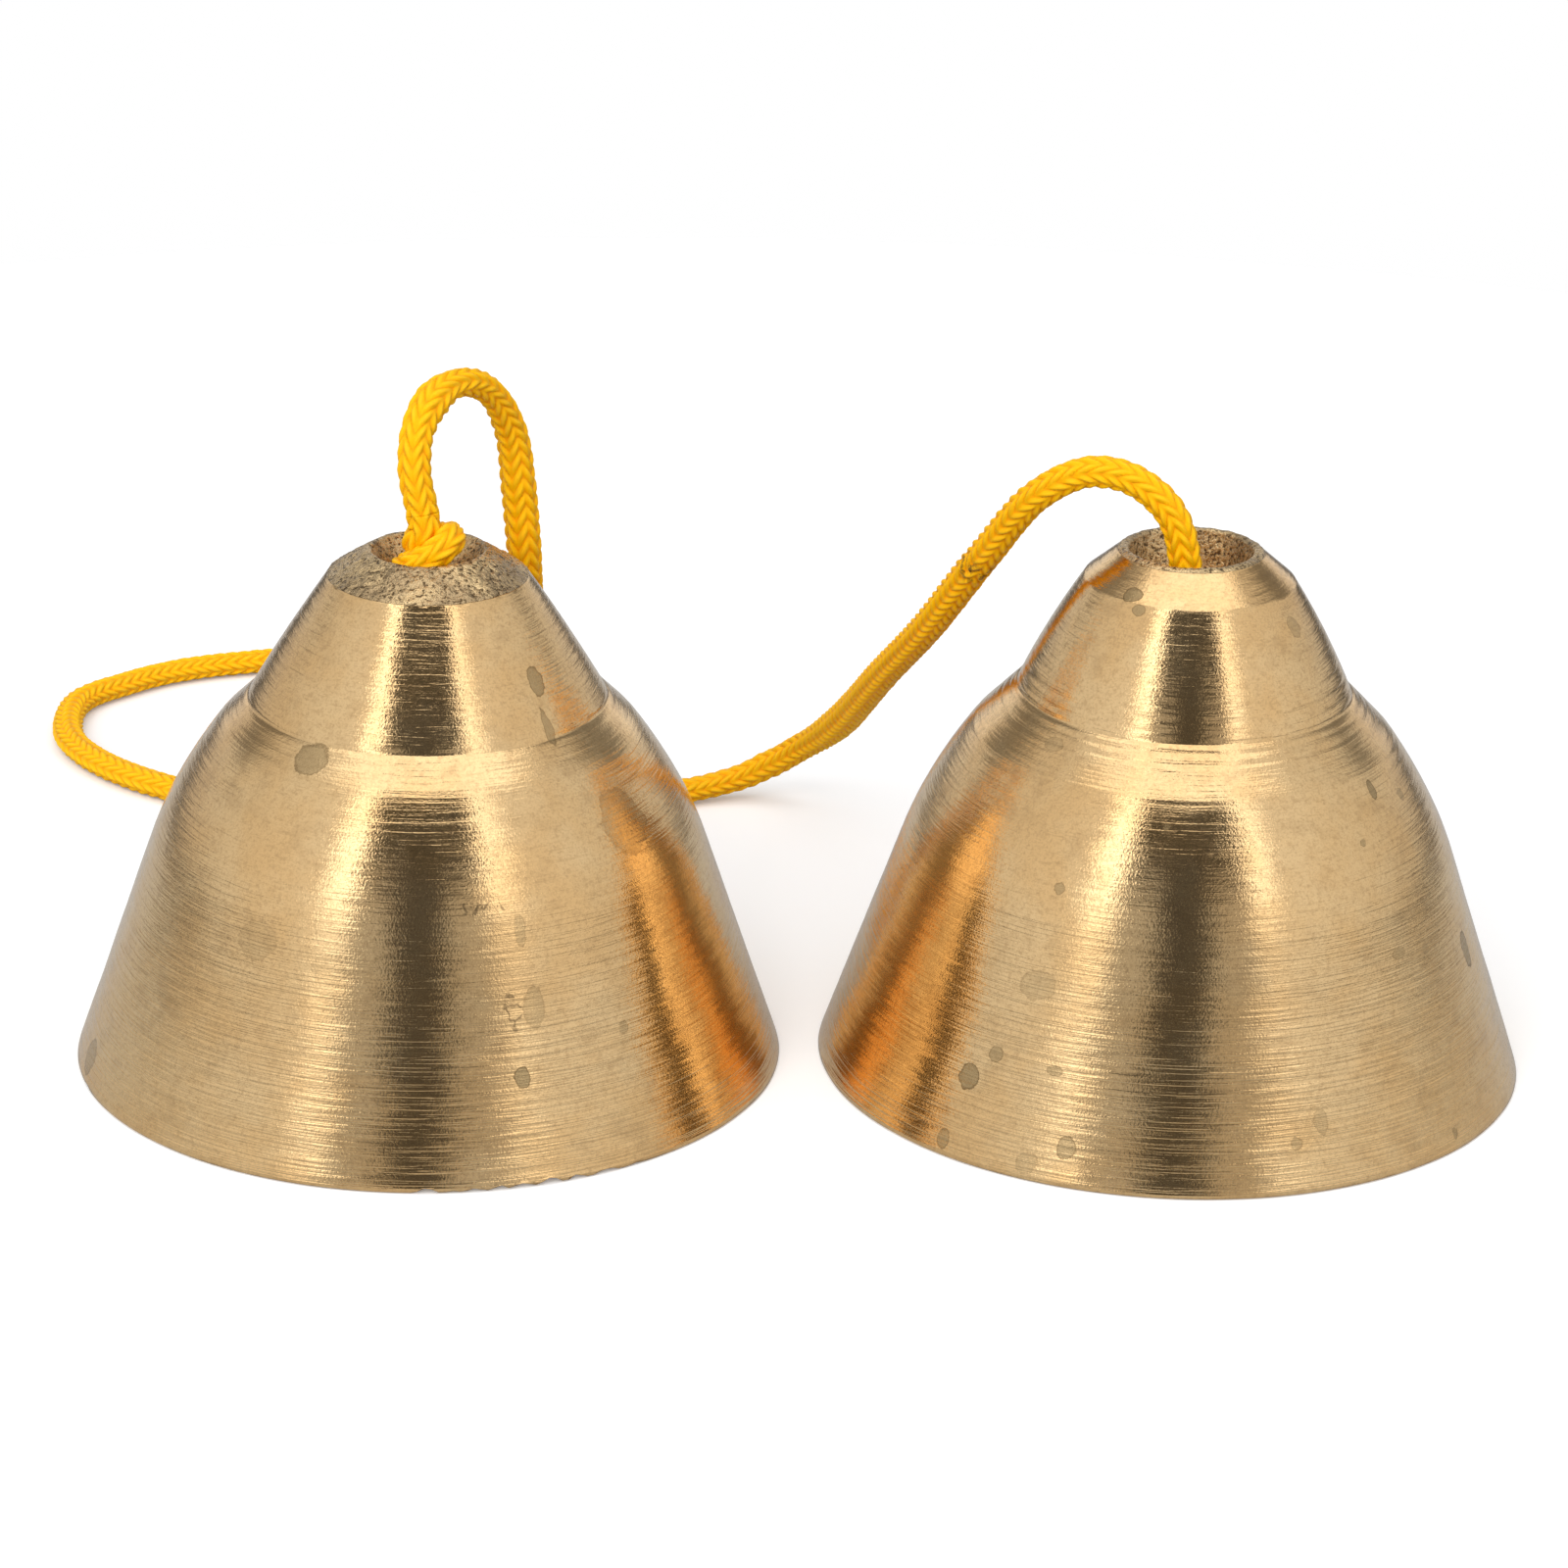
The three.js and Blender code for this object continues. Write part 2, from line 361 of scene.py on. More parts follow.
def meltedMaterial(facts):
    material = bpy.data.materials.new("melted_end")
    n = Nodes(material, "Principled BSDF")
    place = n.add("ShaderNodeTexCoord").outputs["Object"]
    scorch = n.remap(n.noise(place, 900, 3), 0.4, 0.65)
    n.feed(n.shader.inputs["Base Color"], n.mix(scorch, facts["honey"], facts["scorched"]))
    n.feed(n.shader.inputs["Roughness"], n.remap(n.noise(place, 2500), 0.3, 0.7, 0.2, 0.45))
    n.feed(n.shader.inputs["Normal"], n.bump(n.noise(place, 1800, 2), 0.6, 0.0001))
    return material


knit = knitMaterial(knitLooks)
melted = meltedMaterial(meltedFacts)

# An overhand knot drawn tight, from its lower end up: through the middle, over the top at the right,
# down across the front, round behind and up the standing part.
knotTurns = [
    (0.0, 0.0, -3.3), (0.1, 0.3, -1.7), (0.4, 0.9, -0.3), (1.3, 1.1, 0.9), (1.85, -0.1, 1.35),
    (1.3, -1.25, 0.9), (0.1, -1.7, 0.0), (-1.1, -1.4, -0.8), (-1.75, -0.5, -1.3), (-1.6, 0.5, -1.5),
    (-0.8, 1.2, -1.3), (-0.4, 0.8, -0.6), (-0.75, 0.0, 0.9), (-0.25, -0.3, 2.2), (-0.4, -0.15, 3.4),
]

# How thick the run is, as a share, by how far along it is: pulled thin over the loop and the arch,
# bunched where it turns.
cordThickness = [
    (0, 0.91), (7, 0.92), (10, 1.0), (13, 0.81), (18, 0.79), (23, 0.9), (28, 0.97), (35, 0.94), (240, 0.94),
    (250, 0.87), (258, 0.87), (266, 1.0), (288, 0.94), (314, 0.95), (324, 0.88), (342, 0.86), (350, 0.95),
]
knotThickness = [(0, 0.91), (3, 0.9), (6, 0.87)]  # the same for a knot, from its top


def middleOf(node):
    low, high = (np.array(corner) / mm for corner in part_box(node))
    return (low + high) / 2, low, high


def finishPiece(piece, body, material, node):
    piece.data.materials.append(material)
    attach(piece, body)
    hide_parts(node)
    return piece


def addKnot(node, body, mirrored=False, leaning=False):
    # leaning keeps the slant of its top end, for the run to meet; else that goes straight up the bore
    turns = np.array(knotTurns) * (-1 if mirrored else 1, 1, 1)
    if not leaning:
        turns[-2:, :2] = (0, 0)
    line = curveThrough(turns + middleOf(node)[0], cordFacts["ringGap"])
    fromTop = np.linspace(lengthsAlong(line)[-1], 0, len(line))
    squeeze = np.interp(fromTop, *np.array(knotThickness).T)
    knot = knittedCord(node + "_tied", line, cordFacts, squeeze, fromEnd=True)
    return finishPiece(knot, body, knit, node)


def addStraight(node, body):
    middle, low, high = middleOf(node)
    top, foot = high[2] + cordFacts["overlap"], low[2] - cordFacts["overlap"]
    line = curveThrough([(middle[0], middle[1], top), (middle[0], middle[1], foot)], cordFacts["ringGap"])
    stretch = knittedCord(node + "_knitted", line, cordFacts, cordFacts["tight"])
    return finishPiece(stretch, body, knit, node)


def addMeltedTip(node, body, facts):
    middle, low, high = middleOf(node)
    share = np.linspace(0, 1, facts["rings"])
    top = high[2] + facts["overlap"]
    height = top - (top - low[2]) * share
    radius = facts["radius"] * np.sqrt(np.clip(1 - share ** 5, 0.0004, 1))
    angle = np.arange(facts["around"]) / facts["around"] * 2 * math.pi
    rings = np.stack([
        middle[0] + radius[:, None] * np.cos(angle),
        middle[1] + radius[:, None] * -np.sin(angle),
        height[:, None] + 0 * angle,
    ], axis=-1)
    lumps = smoothNoise(rings.reshape(-1, 3) * 1.6, 8).reshape(rings.shape[:2])
    rings[..., :2] += (rings[..., :2] - middle[:2]) * facts["lumps"] * lumps[..., None]
    tip = meshFromRings(node + "_melted", rings, False, {})
    return finishPiece(tip, body, melted, node)


def addCord():
    rightKnot, _, rightKnotTop = middleOf("right_stop_knot")
    start = middleOf("left_throat_knot")[0] + knotTurns[-1]
    bore = (rightKnot[0], rightKnot[1], cordFacts["boreHeight"])
    end = (rightKnot[0], rightKnot[1], rightKnotTop[2])
    line = curveThrough([start, *(np.array(cordRoute) / mm), bore, end], cordFacts["ringGap"])
    along = lengthsAlong(line)
    squeeze = np.interp(along, *np.array(cordThickness).T)
    run = knittedCord("cord_run_knitted", line, cordFacts, squeeze)
    finishPiece(run, "cord", knit, "cord_run")
    onCord = [
        addKnot("left_throat_knot", "cord", leaning=True),
        addStraight("left_neck", "cord"),
        addKnot("left_stop_knot", "left_knot", mirrored=True),
        addStraight("left_tail", "left_knot"),
        addMeltedTip("left_tail_tip", "left_knot", meltedFacts),
        addKnot("right_stop_knot", "right_knot"),
        addStraight("right_tail", "right_knot"),
        addMeltedTip("right_tail_tip", "right_knot", meltedFacts),
    ]
    print("cord made, run of", round(along[-1], 1), "mm")


addCord()

# the brass cups

cupFacts = {  # mm; what both cups share
    "rimRadius": 30,
    "rimLand": 3.2,
    "wall": 3.4,
    "flankHeight": 19,
    "flankRadius": 23.4,
    "ceilingChamfer": 2,
    "edgeRound": 0.3,
    "around": 330,
    "wander": 0.035,  # how far the turned wall strays from true
    "ridges": 0.006,  # depth of the tool's marks
    "rough": 0.06,  # the same for the inside, left as cast
    "roughLip": 0.45,  # how far out past the lip both are rough
    "chipReach": (1.6, 0.9),  # where chips begin inside the rim, and over what they deepen
}

leftFacts = {
    "node": "left_cymbal",
    "body": "left_cup",
    "slot": "left_brass",
    "shoulder": (17.5, 29.6),
    "waist": (15, 32),
    "crownSwell": 0.3,
    "capDrop": 2.1,
    "capRadius": 8.25,
    "lipRadius": 4.9,
    "mouthRadius": 4.55,
    "funnelDepth": 3.1,
    "boreRadius": 2.4,
    "crownDepth": 7,
    "castCap": 1,  # the cap is left as cast
    "capGrain": 0.07,  # roughness left by the sand on the cap and in the mouth
    "seed": 11,
    # azimuth from the front in degrees, height, half width, half height
    "cracks": [(15, 21.5, 2.2, 0.7), (19.5, 13.5, 0.8, 2.0), (-152, 11, 2.5, 1.0)],
    # height of each cut line, depth, half width
    "lines": [(32.0, 0.06, 0.13), (29.6, 0.03, 0.14), (27.9, 0.025, 0.12)],
    # azimuth and half width in degrees, depth
    "chips": [(3.3, 1.7, 0.6), (7.5, 1.2, 0.3), (11, 1.5, 0.7), (15, 1.5, 0.4), (18.6, 1.7, 0.75),
              (23, 1.9, 0.8), (27.5, 1.6, 0.5), (33, 1.9, 0.55), (38, 1.5, 0.3), (118, 3, 0.35),
              (204, 4, 0.4), (291, 2.5, 0.35)],
    # azimuth, height, half width, half height, how dark
    "stains": [(-32.2, 30.9, 1.5, 1.1, 0.6), (49.1, 36.2, 0.9, 1.1, 0.7), (46.3, 32.7, 0.5, 1.4, 0.6),
               (20.1, 8.4, 0.7, 0.9, 0.85), (40.9, 10.7, 0.5, 0.6, 0.5), (23.6, 13.5, 0.9, 1.6, 0.35),
               (-72.1, 2.0, 1.4, 1.5, 0.6), (55.8, 25.3, 2.6, 2.4, 0.3), (22.5, 19.6, 0.5, 1.2, 0.4),
               (104, 38, 1.0, 2.2, 0.5), (-15.4, 16.6, 1.6, 1.0, 0.2), (-31.6, 17.8, 1.8, 1.6, 0.2),
               (150, 14, 1.1, 1.3, 0.5), (-140, 22, 1.3, 1.0, 0.5), (175, 33, 0.9, 1.1, 0.5)],
}

rightFacts = {
    "node": "right_cymbal",
    "body": "right_cup",
    "slot": "right_brass",
    "shoulder": (17.7, 29.6),
    "waist": (14, 33.4),
    "crownSwell": 0.5,
    "capDrop": 2.6,
    "capRadius": 8.8,
    "lipRadius": 5.6,
    "mouthRadius": 5.1,
    "funnelDepth": 6.2,
    "boreRadius": 2.9,
    "crownDepth": 8.4,
    "castCap": 0,
    "capGrain": 0.05,
    "seed": 23,
    "cracks": [(165, 24, 2, 1.2)],
    "lines": [(33.3, 0.07, 0.13), (34.1, 0.04, 0.12), (32.7, 0.04, 0.12), (32.0, 0.03, 0.12),
              (35.0, 0.03, 0.12), (29.5, 0.05, 0.14), (36.2, 0.02, 0.12)],
    "chips": [(52, 1.2, 0.2), (-38, 1.5, 0.12), (133, 3, 0.25), (224, 2.2, 0.2)],
    "stains": [(71.1, 13.5, 0.9, 1.5, 0.85), (53.8, 28.6, 0.5, 0.7, 0.8), (65.4, 27.1, 0.5, 0.5, 0.5),
               (-39.7, 6.7, 1.0, 1.1, 0.8), (-35.6, 9.0, 0.7, 0.7, 0.6), (-20.0, 3.2, 0.8, 0.9, 0.7),
               (-41.8, 1.4, 0.7, 0.8, 0.6), (-23.9, 8.8, 0.7, 0.4, 0.6), (-29.5, 22.5, 0.5, 0.5, 0.6),
               (-26.1, 1.4, 1.0, 0.9, 0.3), (45.3, 16.6, 0.9, 0.5, 0.4), (53.8, 16.0, 0.5, 0.5, 0.4),
               (17.8, 4.0, 0.5, 0.6, 0.5), (22.5, 5.4, 0.7, 1.1, 0.35), (50.3, 1.4, 0.4, 0.5, 0.7),
               (43.3, 25.4, 0.3, 0.3, 0.6), (-7.3, 27.9, 0.3, 0.3, 0.6), (54.1, 40.9, 0.8, 0.9, 0.35),
               (-46.9, 31.8, 1.0, 0.5, 0.3), (-30, 15, 1.6, 1.2, 0.25),
               (-38, 43.5, 0.9, 0.5, 0.8), (-31, 42.6, 0.6, 0.4, 0.7), (128, 20, 1.2, 1.4, 0.6),
               (-150, 9, 1.4, 1.2, 0.6), (170, 27, 0.8, 1.0, 0.6)],
}


def bend(start, control, end, count=24):
    share = np.linspace(0, 1, count)[:, None]
    start, control, end = (np.array(p, float) for p in (start, control, end))
    return (1 - share) ** 2 * start + 2 * share * (1 - share) * control + share ** 2 * end


def spaced(points, gap):
    points = np.array(points, float)
    along = lengthsAlong(points)
    stops = np.linspace(0, along[-1], max(2, round(along[-1] / gap) + 1))[:-1]
    return np.stack([np.interp(stops, along, points[:, k]) for k in range(2)], axis=-1)


def cupProfile(facts, shared, height):
    # the whole section as (radius, height), with how cast each point is: turned 0, cap 1, inside 2
    slope = (shared["rimRadius"] - shared["flankRadius"]) / shared["flankHeight"]
    rounding = shared["edgeRound"]
    capHeight = height - facts["capDrop"]
    bendHeight = (shared["flankHeight"] + facts["shoulder"][1]) / 2
    control = (shared["flankRadius"] - slope * (bendHeight - shared["flankHeight"]), bendHeight)
    flank = np.vstack([
        bend((shared["rimRadius"] - rounding, 0), (shared["rimRadius"], 0),
             (shared["rimRadius"] - slope * rounding, rounding), 6),
        bend((shared["flankRadius"], shared["flankHeight"]), control, facts["shoulder"]),
    ])
    shoulder = [facts["shoulder"], facts["waist"]]
    crownControl = ((facts["waist"][0] + facts["capRadius"]) / 2 + facts["crownSwell"],
                    (facts["waist"][1] + capHeight) / 2)
    crown = bend(facts["waist"], crownControl, (facts["capRadius"], capHeight))
    lipDrop = facts["lipRadius"] - facts["mouthRadius"]
    cap = np.vstack([
        [(facts["capRadius"], capHeight), (facts["lipRadius"] + 0.3, height - 0.12)],
        bend((facts["lipRadius"], height - 0.01), (facts["mouthRadius"] + 0.05, height),
             (facts["mouthRadius"], height - lipDrop), 6),
    ])
    ceiling = height - facts["crownDepth"]
    throat = [(facts["mouthRadius"], height - lipDrop), (facts["boreRadius"], height - facts["funnelDepth"]),
              (facts["boreRadius"], ceiling)]
    outline = np.vstack([flank, shoulder, crown])
    chamferFoot = ceiling - shared["ceilingChamfer"]
    inHeights = np.linspace(chamferFoot, 0, 30)
    inRadii = np.interp(inHeights, outline[:, 1], outline[:, 0]) - shared["wall"]
    inRadii[-1] = shared["rimRadius"] - shared["rimLand"]
    ceilingRadius = np.interp(ceiling, outline[:, 1], outline[:, 0])
    ceilingRadius -= shared["wall"] + shared["ceilingChamfer"]
    inside = np.vstack([[(facts["boreRadius"], ceiling), (ceilingRadius, ceiling)],
                        np.stack([inRadii, inHeights], axis=-1)])
    land = [tuple(inside[-1]), (shared["rimRadius"] - rounding, 0)]
    # each zone with the spacing of its points and its kind
    zones = [(flank, 0.3, 0), (shoulder, 0.17, 0), (crown, 0.22, 0), (cap, 0.13, facts["castCap"]),
             (throat, 0.22, 1), (inside, 1.0, 2), (land, 0.4, 0)]
    points = [spaced(zone, gap) for zone, gap, _ in zones]
    kinds = [np.full(len(p), kind) for p, (_, _, kind) in zip(points, zones)]
    kinds[3][points[3][:, 0] < facts["lipRadius"] + shared["roughLip"]] = 1
    onLand = np.concatenate([np.full(len(p), i == len(points) - 1) for i, p in enumerate(points)])
    return np.vstack(points), np.concatenate(kinds), onLand


def addCup(facts, shared, material):
    axis, low, high = middleOf(facts["node"])
    profile, kinds, onLand = cupProfile(facts, shared, high[2] - low[2])
    tangent = np.roll(profile, -1, axis=0) - np.roll(profile, 1, axis=0)
    normal = np.stack([tangent[:, 1], -tangent[:, 0]], axis=-1)
    normal /= np.linalg.norm(normal, axis=1)[:, None]
    azimuth = np.arange(shared["around"]) / shared["around"] * 2 * math.pi  # from the front, towards +X
    radius, height = profile[:, 0, None], profile[:, 1, None]
    flat = np.stack([
        (radius * np.sin(azimuth)).ravel(),
        (-radius * np.cos(azimuth)).ravel(),
        (height + 0 * azimuth).ravel(),
    ], axis=-1)
    seed = facts["seed"]
    shape = (len(profile), len(azimuth))
    wander = smoothNoise(flat / 7, seed) + 0.4 * smoothNoise(flat / 3.2, seed + 1)
    wander = shared["wander"] * wander.reshape(shape)
    level = height.ravel()
    ridge = smoothNoise(np.stack([level / 0.33, 0 * level, 0 * level], -1), seed + 2)
    ridge = shared["ridges"] * ridge[:, None]
    grain = (smoothNoise(flat / 0.38, seed + 3) + 0.8 * smoothNoise(flat / 0.9, seed + 4)).reshape(shape)
    coarse = (smoothNoise(flat / 2.2, seed + 5) + 0.5 * smoothNoise(flat / 0.9, seed + 6)).reshape(shape)
    kind = kinds[:, None]
    outside = (kind == 0) & ~onLand[:, None]
    push = np.where(outside, wander + ridge, 0.0)
    push = np.where(kind == 1, facts["capGrain"] * grain, push)
    push = np.where(kind == 2, shared["rough"] * coarse, push)
    push = np.where(onLand[:, None] | (height < 0.02), 0.0, push)
    for at, depth, halfWidth in facts["lines"]:
        push = push - np.where(outside, depth * np.exp(-((height - at) / halfWidth) ** 2), 0)
    points = np.stack([radius + push * normal[:, 0, None] + 0 * azimuth,
                       height + push * normal[:, 1, None] + 0 * azimuth], axis=-1)
    chipped = np.zeros(len(azimuth))
    degrees = np.degrees(azimuth)
    ragged = smoothNoise(np.stack([degrees / 1.3, 0 * degrees, 0 * degrees], -1), seed + 7)
    for at, halfWidth, depth in facts["chips"]:
        away = np.abs((degrees - at + 180) % 360 - 180)
        chipped = np.maximum(chipped, depth * np.clip(1.3 - away / halfWidth, 0, 1) * (0.8 + 0.35 * ragged))
    begin, over = shared["chipReach"]
    nearEdge = np.clip((points[..., 0] - (shared["rimRadius"] - begin)) / over, 0, 1)
    points[..., 1] = np.maximum(points[..., 1], chipped[None, :] * nearEdge * (height < 3))
    stain = np.zeros(shape)
    depthOfStain = np.zeros(shape)
    edge = 0.18 * smoothNoise(flat / 0.8, seed + 8).reshape(shape)

    def spotAt(at, level, halfWide, halfHigh):
        # 1 in the middle of the spot, falling to 0 over its uneven edge
        sideways = np.radians((degrees - at + 180) % 360 - 180) * radius
        away = np.sqrt((sideways / halfWide) ** 2 + ((height - level) / halfHigh) ** 2) + edge
        return np.where(outside, np.clip(1.5 - away, 0, 1), 0)

    for *where, strength in facts["stains"]:
        spot = spotAt(*where)
        depthOfStain = np.where(spot > stain, strength, depthOfStain)
        stain = np.maximum(stain, spot)
    cracked = np.zeros(shape)
    for where in facts["cracks"]:
        cracked = np.maximum(cracked, spotAt(*where))
    castMark = np.where(kind == 1, 1.0, np.where(kind == 2, 0.7, 0.0)) + np.zeros(shape)
    rings = np.stack([
        points[..., 0] * np.sin(azimuth),
        -points[..., 0] * np.cos(azimuth),
        low[2] + points[..., 1],
    ], axis=-1)
    cup = meshFromRings(facts["node"] + "_turned", rings, True,
                        {"cast": castMark, "stain": stain, "tone": depthOfStain, "cracked": cracked})
    cup.location = (axis[0] * mm, axis[1] * mm, 0)
    bpy.context.view_layer.update()
    finishPiece(cup, facts["body"], material, facts["node"])
    print(facts["node"], "made of", len(cup.data.polygons), "faces")


brassFacts = {
    "bright": (0.88, 0.615, 0.315),
    "warm": (0.84, 0.545, 0.25),
    "dull": (0.52, 0.33, 0.155),
    "stain": (0.42, 0.30, 0.15),
    "stainRim": (0.22, 0.14, 0.06),
    "sandPit": (0.15, 0.095, 0.045),
    "sandTop": (0.88, 0.64, 0.34),
    "cloud": (0.48, 0.34, 0.19),
    "roughness": 0.11,
    "streakTilt": 0.17,  # how far each turning streak leans round the cup
    "grooveDepth": 0.000022,  # metres, as the two below
    "grainDepth": 0.000016,
    "pitDepth": 0.00016,
    "stainRoughness": 0.2,  # added to the brass's own
    "sandRoughness": 0.12,
    "anisotropic": 0.75,
    "sideways": 0.25,  # turns of the stretched highlight
}


def brassMaterial(name, facts, seed):
    material = bpy.data.materials.new(name)
    n = Nodes(material, "Principled BSDF")
    place = n.add("ShaderNodeTexCoord").outputs["Object"]
    x, y, z = n.add("ShaderNodeSeparateXYZ", None, Vector=place).outputs
    reach = n.math("SQRT", n.math("ADD", n.math("MULTIPLY", x, x), n.math("MULTIPLY", y, y)))
    reach = n.math("MAXIMUM", reach, 0.001)
    acrossX, acrossY = n.math("DIVIDE", x, reach), n.math("DIVIDE", y, reach)
    # streaks that run round the cup: short up the wall, long along the turning
    rise = n.math("MULTIPLY", z, 1000.0)
    ring = n.add("ShaderNodeCombineXYZ", None, X=acrossX, Y=acrossY, Z=rise).outputs[0]

    def streaks(longways, upWall, detail, shift):
        spread = n.vector("MULTIPLY_ADD", i0=ring, i1=(longways, longways, upWall), i2=(shift, seed, shift))
        return n.noise(spread, 1.0, detail, 0.6)

    groove = streaks(2.2, 3.4, 2, 5.0)
    scratch = streaks(9.0, 6.0, 2, 31.0)
    lean = streaks(7.0, 4.2, 2, 57.0)
    broad = streaks(2.6, 0.16, 2, 83.0)
    cast, stain, tone, cracked = n.mark("cast"), n.mark("stain"), n.mark("tone"), n.mark("cracked")
    grain = n.noise(place, 5200, 2, 0.6)
    speckle = n.noise(place, 2300, 3, 0.65)
    mottle = n.noise(place, 110 + seed, 4, 0.6)
    patches = n.noise(place, 420, 3, 0.6)
    paint = {key: (*value, 1) for key, value in facts.items() if isinstance(value, tuple)}
    colour = n.mix(n.remap(mottle, 0.35, 0.65), paint["bright"], paint["warm"])
    dulling = [(patches, 0.5, 0.72, 0.32), (grain, 0.45, 0.68, 0.32), (speckle, 0.5, 0.68, 0.38),
               (scratch, 0.56, 0.72, 0.3)]
    for field, start, full, most in dulling:
        colour = n.mix(n.math("MULTIPLY", n.remap(field, start, full), most), colour, paint["dull"])
    ragged = n.math("ADD", stain, n.scaled(speckle, 0.5, 0.35))
    ragged = n.math("ADD", ragged, n.scaled(patches, 0.5, 0.5))
    spot = n.math("MULTIPLY", n.remap(ragged, 0.46, 0.52), tone)
    heart = n.remap(ragged, 0.54, 0.68)
    colour = n.mix(spot, colour, n.mix(heart, paint["stainRim"], paint["stain"]))
    swirl = n.add("ShaderNodeTexNoise", None, Vector=place, Scale=900.0).outputs["Color"]
    bent = n.vector("MULTIPLY_ADD", i0=swirl, i1=(0.0012, 0.0012, 0.0012), i2=place)
    web = n.add("ShaderNodeTexVoronoi", {"feature": "DISTANCE_TO_EDGE"}, Vector=bent, Scale=380.0)
    web = n.remap(web.outputs["Distance"], 0.01, 0.04, 1.0, 0.0)
    crack = n.math("MULTIPLY", web, n.remap(cracked, 0.5, 0.7))
    colour = n.mix(n.math("MULTIPLY", crack, 0.6), colour, paint["sandPit"])
    sandy = n.remap(n.math("ADD", cast, n.scaled(patches, 0.5, 1.2)), 0.35, 0.6)
    pits = n.noise(place, 2700, 3, 0.7)
    cloud = n.remap(n.noise(place, 230 + seed, 2), 0.38, 0.66)
    sandTop = n.mix(n.math("MULTIPLY", cloud, 0.8), paint["sandTop"], paint["cloud"])
    castColour = n.mix(n.remap(pits, 0.37, 0.50), paint["sandPit"], sandTop)
    colour = n.mix(sandy, colour, castColour)
    roughness = n.remap(speckle, 0.3, 0.7, facts["roughness"] - 0.03, facts["roughness"] + 0.06)
    roughness = n.math("ADD", roughness, n.math("MULTIPLY", spot, facts["stainRoughness"]))
    roughness = n.math("ADD", roughness, n.math("MULTIPLY", sandy, facts["sandRoughness"]), clamp=True)
    n.feed(n.shader.inputs["Base Color"], colour)
    n.feed(n.shader.inputs["Roughness"], roughness)
    # lean each streak a little round the cup, then cut the grooves and the grain
    aside = n.add("ShaderNodeCombineXYZ", None, X=n.math("MULTIPLY", acrossY, -1.0), Y=acrossX).outputs[0]
    aside = n.add("ShaderNodeVectorTransform", {"vector_type": "VECTOR", "convert_from": "OBJECT",
                                                "convert_to": "WORLD"}, Vector=aside).outputs[0]
    amount = n.scaled(lean, 0.5, facts["streakTilt"])
    amount = n.math("ADD", amount, n.scaled(broad, 0.5, facts["streakTilt"] * 0.5))
    turned = n.math("SUBTRACT", 1.0, sandy)
    amount = n.math("MULTIPLY", amount, n.math("MULTIPLY", turned, n.remap(z, 0.008, 0.028, 1.0, 0.4)))
    push = n.vector("SCALE", Vector=aside, Scale=amount)
    straight = n.add("ShaderNodeNewGeometry").outputs["Normal"]
    leaning = n.vector("NORMALIZE", i0=n.vector("ADD", i0=straight, i1=push))
    grooved = n.math("MULTIPLY", turned, n.remap(z, 0.007, 0.017, 1.0, 0.5))
    grooved = n.math("MULTIPLY", n.remap(groove, 0.38, 0.66), grooved)
    normal = n.bump(grooved, 1.0, facts["grooveDepth"], leaning)
    normal = n.bump(grain, 1.0, facts["grainDepth"], normal)
    normal = n.bump(n.math("MULTIPLY", pits, sandy), 1.0, facts["pitDepth"], normal)
    n.feed(n.shader.inputs["Normal"], normal)
    n.shader.inputs["Metallic"].default_value = 1.0
    n.shader.inputs["Anisotropic"].default_value = facts["anisotropic"]
    n.shader.inputs["Anisotropic Rotation"].default_value = facts["sideways"]
    return material


addCup(leftFacts, cupFacts, brassMaterial("left_turned_brass", brassFacts, 3))
addCup(rightFacts, cupFacts, brassMaterial("right_turned_brass", brassFacts, 17))

# table and light

studio = {
    "table": 0.27,  # radius, metres
    "tableTone": (0.93, 0.93, 0.935),
    "tableGlow": 0.14,  # its own light, for the camera only
    "tableInBrass": (0.52, 0.535, 0.55),  # the table as the brass and the cord meet it
    # where each begins to change and has changed, in degrees from the front
    "hazeStart": (9, 14),
    "gapEnd": (29, 31),
    "stripEnd": (40, 45),
    "fillTurns": (42, 120),
    "fallOffStart": (105, 130),
    "behindStart": (138, 156),
    # the same by how far up the way there points, as the sine of its angle
    "horizon": (-0.03, 0.01),
    "stripRise": (0.2, 0.55),
    "hazeTop": (0.5, 0.58),
    "fallOffRise": (0.22, 0.38),
    "overheadStart": (0.82, 0.87),
    "fallOffTop": (0.9, 0.97),
    # how bright each is
    "gap": 0.09,
    "haze": 0.4,
    "strip": (1.1, 2.4),  # low down, high up
    "rightStrip": 0.75,  # as a share of the left one
    "fill": (0.86, 0.68),  # beside the strip, further round
    "behind": 0.95,
    "nearTable": 0.72,  # as a share, just above the table
    "belowTable": 0.12,
    "overhead": 1.5,
    "fallOff": 0.65,  # how much is taken away
    "seen": 1.0,  # the surroundings, for the camera
    "lampSize": 1.6,
    "lampPower": 23,
    "lampPlace": (-0.3, -1.5, 0.95),
}


def addTable(setup):
    bpy.ops.mesh.primitive_circle_add(vertices=96, radius=setup["table"], fill_type="NGON")
    table = bpy.context.object
    table.name = "table"
    material = bpy.data.materials.new("table_white")
    n = Nodes(material, "Principled BSDF")
    seen = n.add("ShaderNodeLightPath").outputs["Is Camera Ray"]
    tone = n.mix(seen, (*setup["tableInBrass"], 1), (*setup["tableTone"], 1))
    n.feed(n.shader.inputs["Base Color"], tone)
    n.feed(n.shader.inputs["Emission Strength"], n.math("MULTIPLY", seen, setup["tableGlow"]))
    n.shader.inputs["Emission Color"].default_value = (1, 1, 1, 1)
    n.shader.inputs["Roughness"].default_value = 0.7
    n.shader.inputs["Specular IOR Level"].default_value = 0.2
    table.data.materials.append(material)


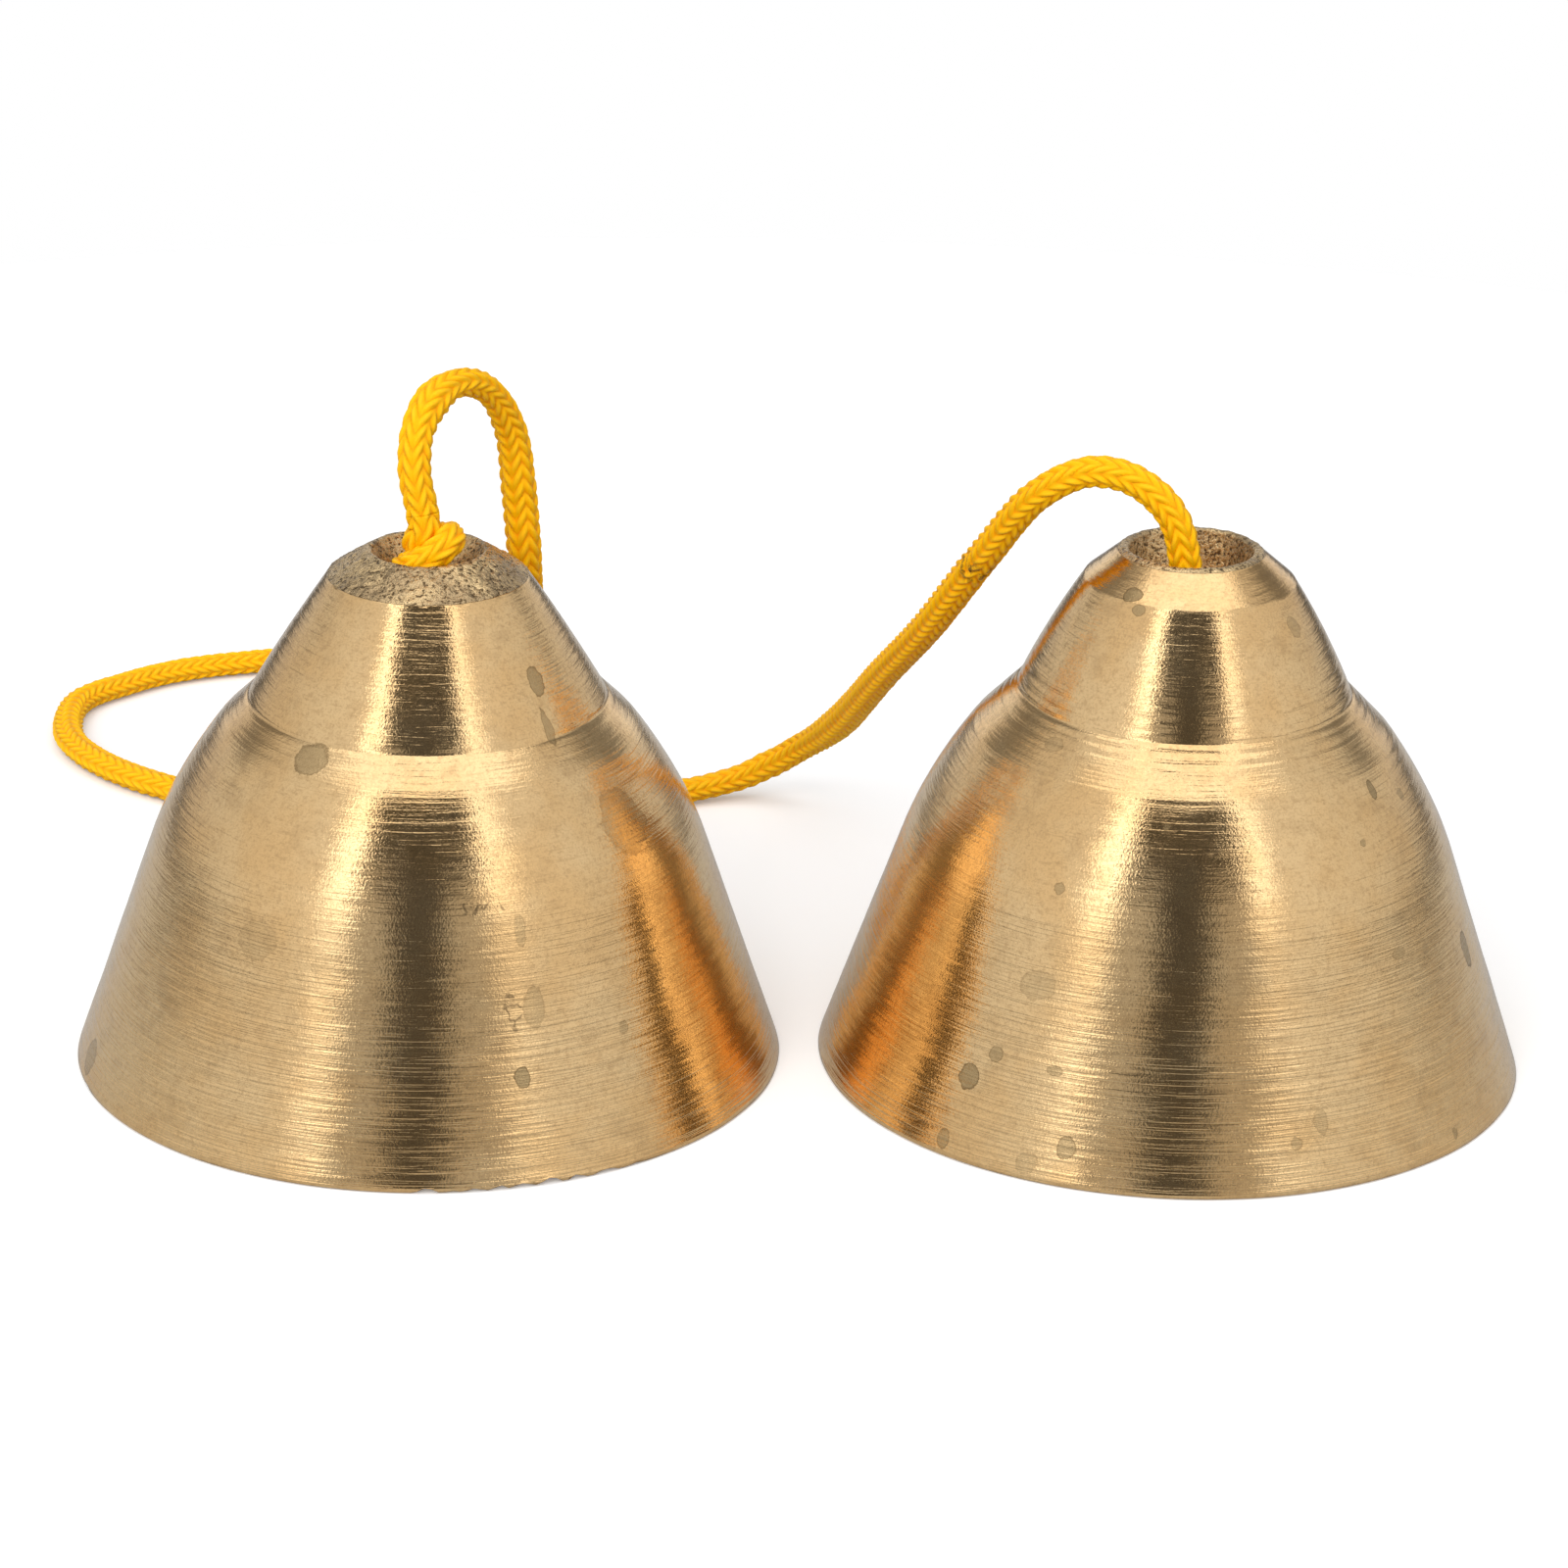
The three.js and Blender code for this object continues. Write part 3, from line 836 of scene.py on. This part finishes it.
def lightStudio(setup):
    # Soft panels painted on the surroundings by direction: overhead; a dark gap in front with a bright strip
    # at each side of it; even fill round the sides; and the dark beyond the table's edge.
    world = bpy.data.worlds.new("studio")
    bpy.context.scene.world = world
    n = Nodes(world, "Background")
    way = n.add("ShaderNodeTexCoord").outputs["Generated"]
    x, y, z = n.add("ShaderNodeSeparateXYZ", None, Vector=way).outputs
    turn = n.math("ABSOLUTE", n.math("ARCTAN2", x, n.math("MULTIPLY", y, -1.0)))
    turn = n.math("MULTIPLY", turn, 180 / math.pi)  # degrees from the front
    strip = n.remap(z, *setup["stripRise"], *setup["strip"])
    strip = n.math("MULTIPLY", strip, n.remap(x, -0.1, 0.1, 1.0, setup["rightStrip"]))
    fill = n.remap(turn, *setup["fillTurns"], *setup["fill"])
    side = n.between(n.remap(turn, *setup["stripEnd"]), strip, fill)
    side = n.between(n.remap(turn, *setup["behindStart"]), side, setup["behind"])
    hazy = n.math("MULTIPLY", n.remap(turn, *setup["hazeStart"]), n.remap(z, *setup["hazeTop"], 1.0, 0.0))
    gap = n.math("ADD", setup["gap"], n.math("MULTIPLY", hazy, setup["haze"]))
    low = n.between(n.remap(turn, *setup["gapEnd"]), gap, side)
    low = n.math("MULTIPLY", low, n.remap(z, 0.0, 0.2, setup["nearTable"], 1.0))
    low = n.between(n.remap(z, *setup["horizon"]), setup["belowTable"], low)
    # the room falls off high up behind
    far = n.remap(turn, *setup["fallOffStart"])
    dim = n.math("MULTIPLY", far, n.remap(z, *setup["fallOffRise"], 0.0, setup["fallOff"]))
    dim = n.math("MULTIPLY", dim, n.remap(z, *setup["fallOffTop"], 1.0, 0.0))
    level = n.between(n.remap(z, *setup["overheadStart"]), low, setup["overhead"])
    level = n.math("MULTIPLY", level, n.math("SUBTRACT", 1.0, dim))
    seen = n.add("ShaderNodeLightPath").outputs["Is Camera Ray"]
    level = n.between(seen, level, setup["seen"])
    n.feed(n.shader.inputs["Strength"], level)
    n.shader.inputs["Color"].default_value = (1, 1, 1, 1)


def addSoftLamp(setup):
    # a broad lamp high in front for the cord and the table; the brass shows only the panels
    data = bpy.data.lights.new("soft_lamp", "AREA")
    data.shape = "DISK"
    data.size = setup["lampSize"]
    data.energy = setup["lampPower"]
    lamp = bpy.data.objects.new("soft_lamp", data)
    bpy.context.collection.objects.link(lamp)
    place = Vector(setup["lampPlace"])
    lamp.location = place
    lamp.rotation_euler = (-place).to_track_quat("-Z", "Y").to_euler()
    lamp.visible_glossy = False


addTable(studio)
lightStudio(studio)
addSoftLamp(studio)
bpy.context.scene.view_settings.view_transform = "Standard"
print("table and light set")
